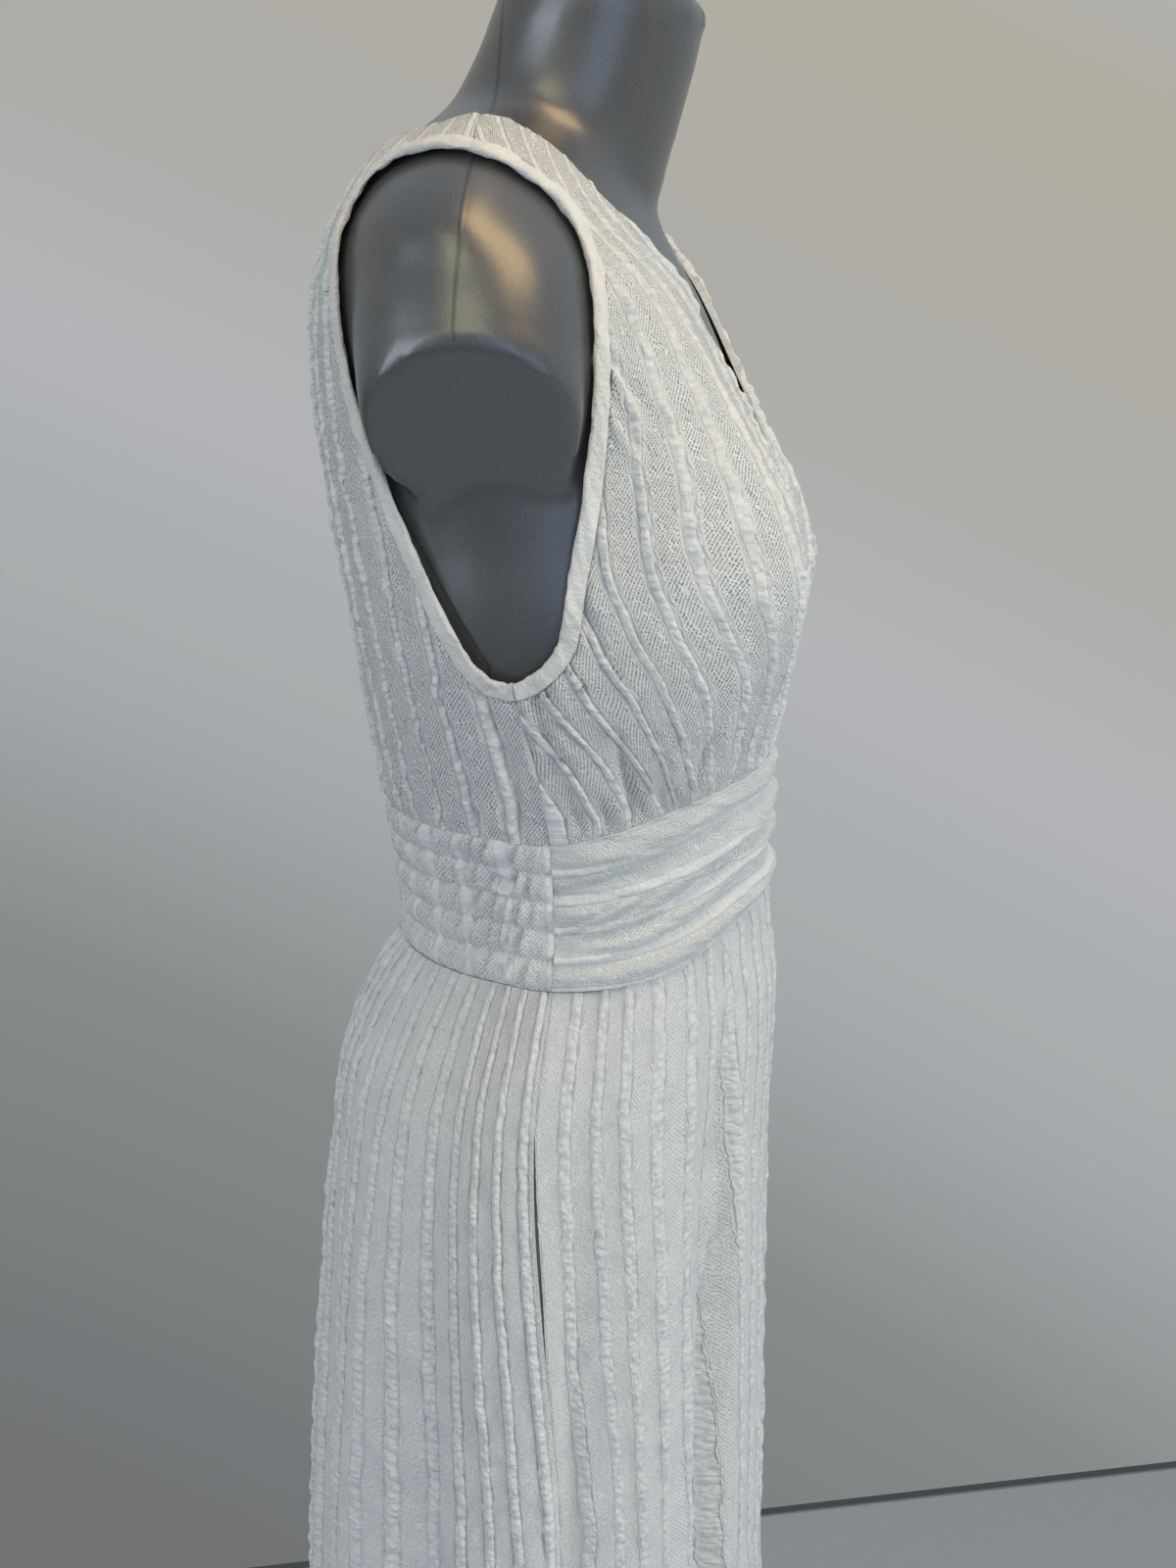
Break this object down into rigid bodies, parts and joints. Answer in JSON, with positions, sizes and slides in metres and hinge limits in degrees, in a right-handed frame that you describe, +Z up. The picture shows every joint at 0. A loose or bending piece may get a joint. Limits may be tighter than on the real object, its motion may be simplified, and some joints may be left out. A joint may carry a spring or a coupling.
{
  "type": "maxi dress on a limbless dress form",
  "caption": "Sleeveless V-neck maxi dress in puckered striped cloth with a draped waistband and side-seam pockets, worn by a limbless dress form on a pole stand.",
  "frame": {"origin": "centre of the stand's round base on the floor, under the pole", "axes": "+Z up, -Y the way the dress faces (front), +X towards the wearer's left side"},
  "size_m": [0.4635, 0.35, 1.5037],
  "materials": {
    "bodice_cloth": "ivory crinkle cloth, matt, lengthwise stripes",
    "binding_cloth": "ivory self-cloth binding, matt",
    "waistband_cloth": "ivory crinkle cloth, matt, draped",
    "skirt_cloth": "ivory crinkle cloth, matt, lengthwise stripes",
    "pocket_cloth": "ivory plain pocket cloth, matt",
    "form_plastic": "silver-grey pearl plastic, semi-gloss",
    "stand_metal": "bright chrome",
    "base_paint": "silver-grey paint, satin"
  },
  "bodies": {
    "root": {"bodice_front_right": "bodice_cloth", "bodice_front_left": "bodice_cloth", "bodice_back": "bodice_cloth", "armhole_binding_right": "binding_cloth", "armhole_binding_left": "binding_cloth", "waistband_front": "waistband_cloth", "waistband_back": "waistband_cloth", "skirt_front": "skirt_cloth", "skirt_back": "skirt_cloth", "pocket_bag_right": "pocket_cloth", "pocket_bag_left": "pocket_cloth", "form_torso": "form_plastic", "form_socket": "stand_metal", "stand_pole": "stand_metal", "stand_collar": "stand_metal", "stand_base": "base_paint"}
  },
  "joints": []
}
